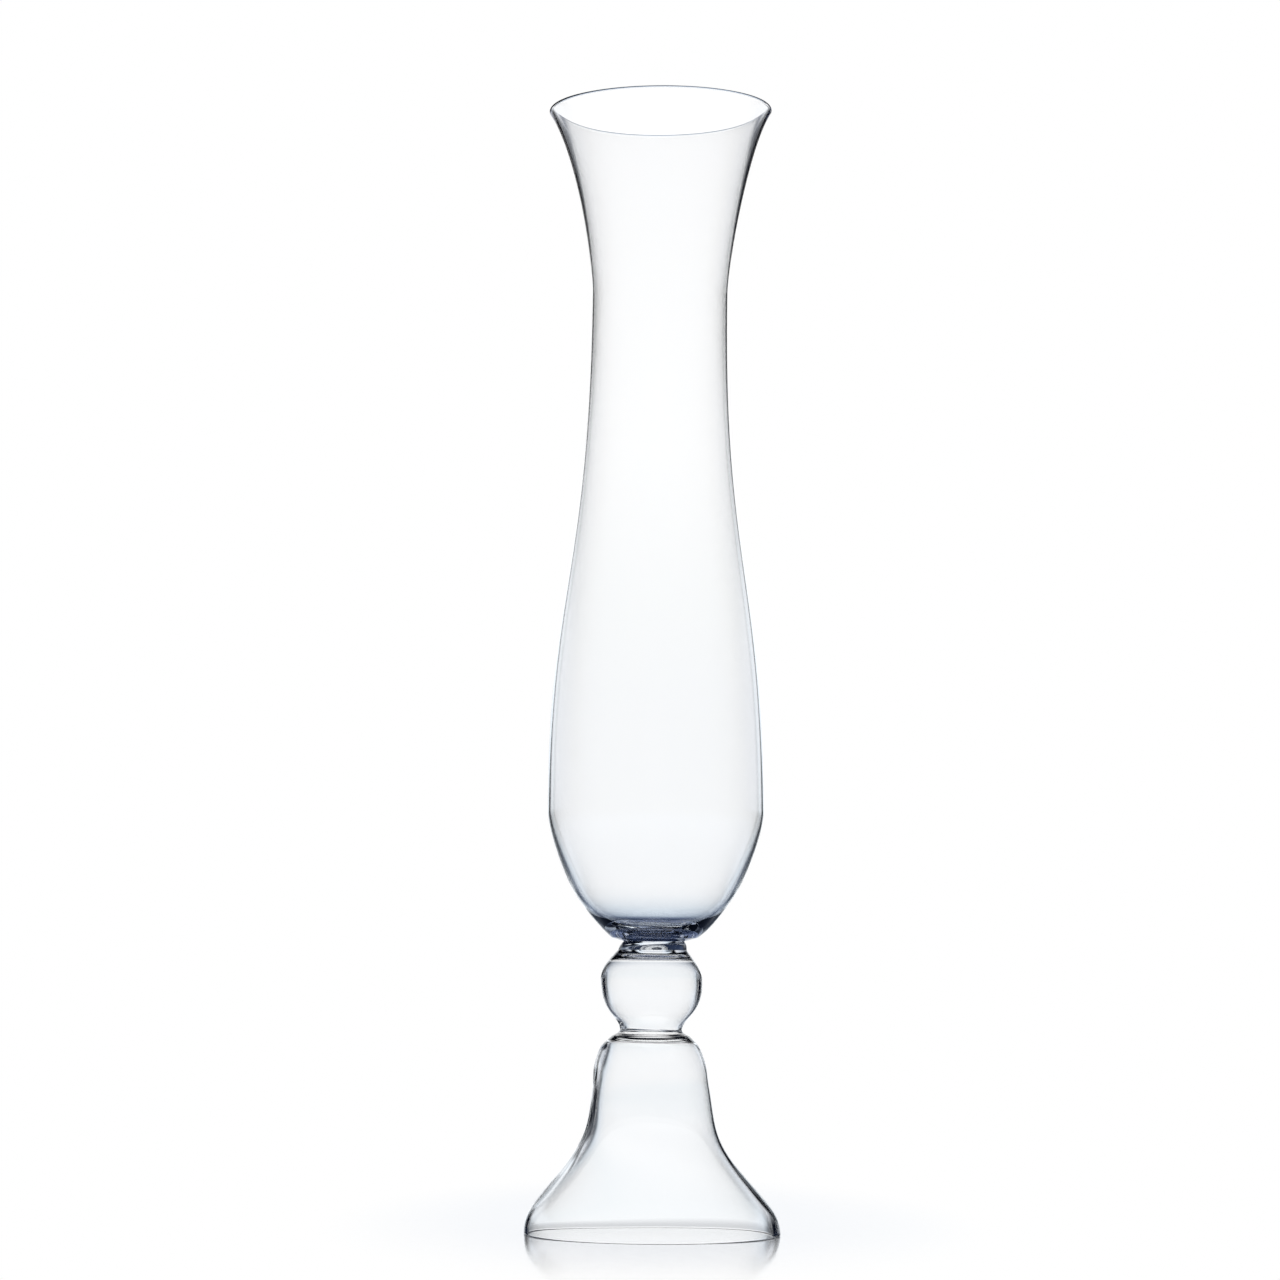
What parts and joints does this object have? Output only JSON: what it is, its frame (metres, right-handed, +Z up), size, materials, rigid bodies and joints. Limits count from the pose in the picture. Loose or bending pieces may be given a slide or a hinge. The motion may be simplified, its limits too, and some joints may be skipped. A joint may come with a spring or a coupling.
{
  "type": "trumpet vase",
  "caption": "Tall clear glass trumpet vase: long bowl with a swelling belly and flared mouth on a hollow ball knop and an open bell foot.",
  "frame": {"origin": "middle of the foot's ring, on the table", "axes": "+Z up along the vase's own axis, from the foot to the mouth; the vase is round, so X and Y are free"},
  "size_m": [0.1376, 0.1376, 0.61],
  "materials": {
    "clear_glass": "clear, smooth and fire-polished, very faintly cool in the thick places"
  },
  "bodies": {
    "root": {"bell_foot": "clear_glass", "lower_disc": "clear_glass", "ball_knop": "clear_glass", "upper_disc": "clear_glass", "trumpet_bowl": "clear_glass"}
  },
  "joints": []
}
